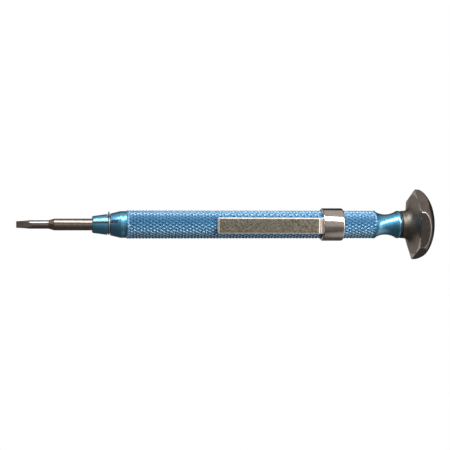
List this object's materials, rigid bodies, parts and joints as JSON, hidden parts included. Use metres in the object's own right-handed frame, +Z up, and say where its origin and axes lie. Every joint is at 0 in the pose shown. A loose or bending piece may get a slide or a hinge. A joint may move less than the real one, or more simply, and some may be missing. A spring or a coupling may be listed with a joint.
{
  "type": "watchmaker screwdriver",
  "caption": "Slim knurled screwdriver for watch and instrument screws, with a reversible flat blade, a pocket clip and a free-turning head for fingertip pressure.",
  "frame": {"origin": "middle of the blade's edge", "axes": "the tool lies along X with the blade's edge at the origin and the head at +X; +Z is up; the clip's strap faces -Y"},
  "size_m": [0.1203, 0.019, 0.0208],
  "materials": {
    "blue_anodised": "satin blue anodised",
    "polished_steel": "polished, flats ground",
    "spring_steel": "drawn spring wire",
    "socket_steel": "turned",
    "bright_nickel": "bright nickel plated",
    "satin_nickel": "satin nickel plated",
    "black_nickel": "polished black nickel",
    "spindle_steel": "ground",
    "dark_washer": "dark hard plastic",
    "brass": "turned",
    "ball_steel": "polished"
  },
  "bodies": {
    "handle": {"handle_barrel": "blue_anodised", "drive_socket": "socket_steel", "swivel_spindle": "spindle_steel"},
    "blade": {"blade": "polished_steel"},
    "clamp_ring": {"clamp_ring": "spring_steel"},
    "clip_band": {"clip_collar": "bright_nickel"},
    "clip_spring": {"clip_strap": "satin_nickel"},
    "washer": {"thrust_washer": "dark_washer"},
    "head": {"swivel_head": "black_nickel", "head_bush": "brass", "thrust_ball": "ball_steel"}
  },
  "joints": [
    {"name": "blade_pull", "type": "slide", "parent": "handle", "child": "blade", "axis": [-1, 0, 0], "range_m": [0, 0.039]},
    {"name": "clamp_ring_turn", "type": "hinge", "parent": "handle", "child": "clamp_ring", "pos_m": [0.02595, 0, 0], "axis": [1, 0, 0], "continuous": true},
    {"name": "clip_slide", "type": "slide", "parent": "handle", "child": "clip_band", "axis": [1, 0, 0], "range_m": [-0.025, 0.0088]},
    {"name": "clip_flex", "type": "hinge", "parent": "clip_band", "child": "clip_spring", "pos_m": [0.0865, -0.00443, 0], "axis": [0, 0, 1], "range_deg": [0, 5], "stiffness_Nm_per_rad": 1.5},
    {"name": "washer_turn", "type": "hinge", "parent": "handle", "child": "washer", "pos_m": [0.11046, 0, 0], "axis": [1, 0, 0], "continuous": true},
    {"name": "head_swivel", "type": "hinge", "parent": "handle", "child": "head", "pos_m": [0.114, 0, 0], "axis": [1, 0, 0], "continuous": true}
  ]
}
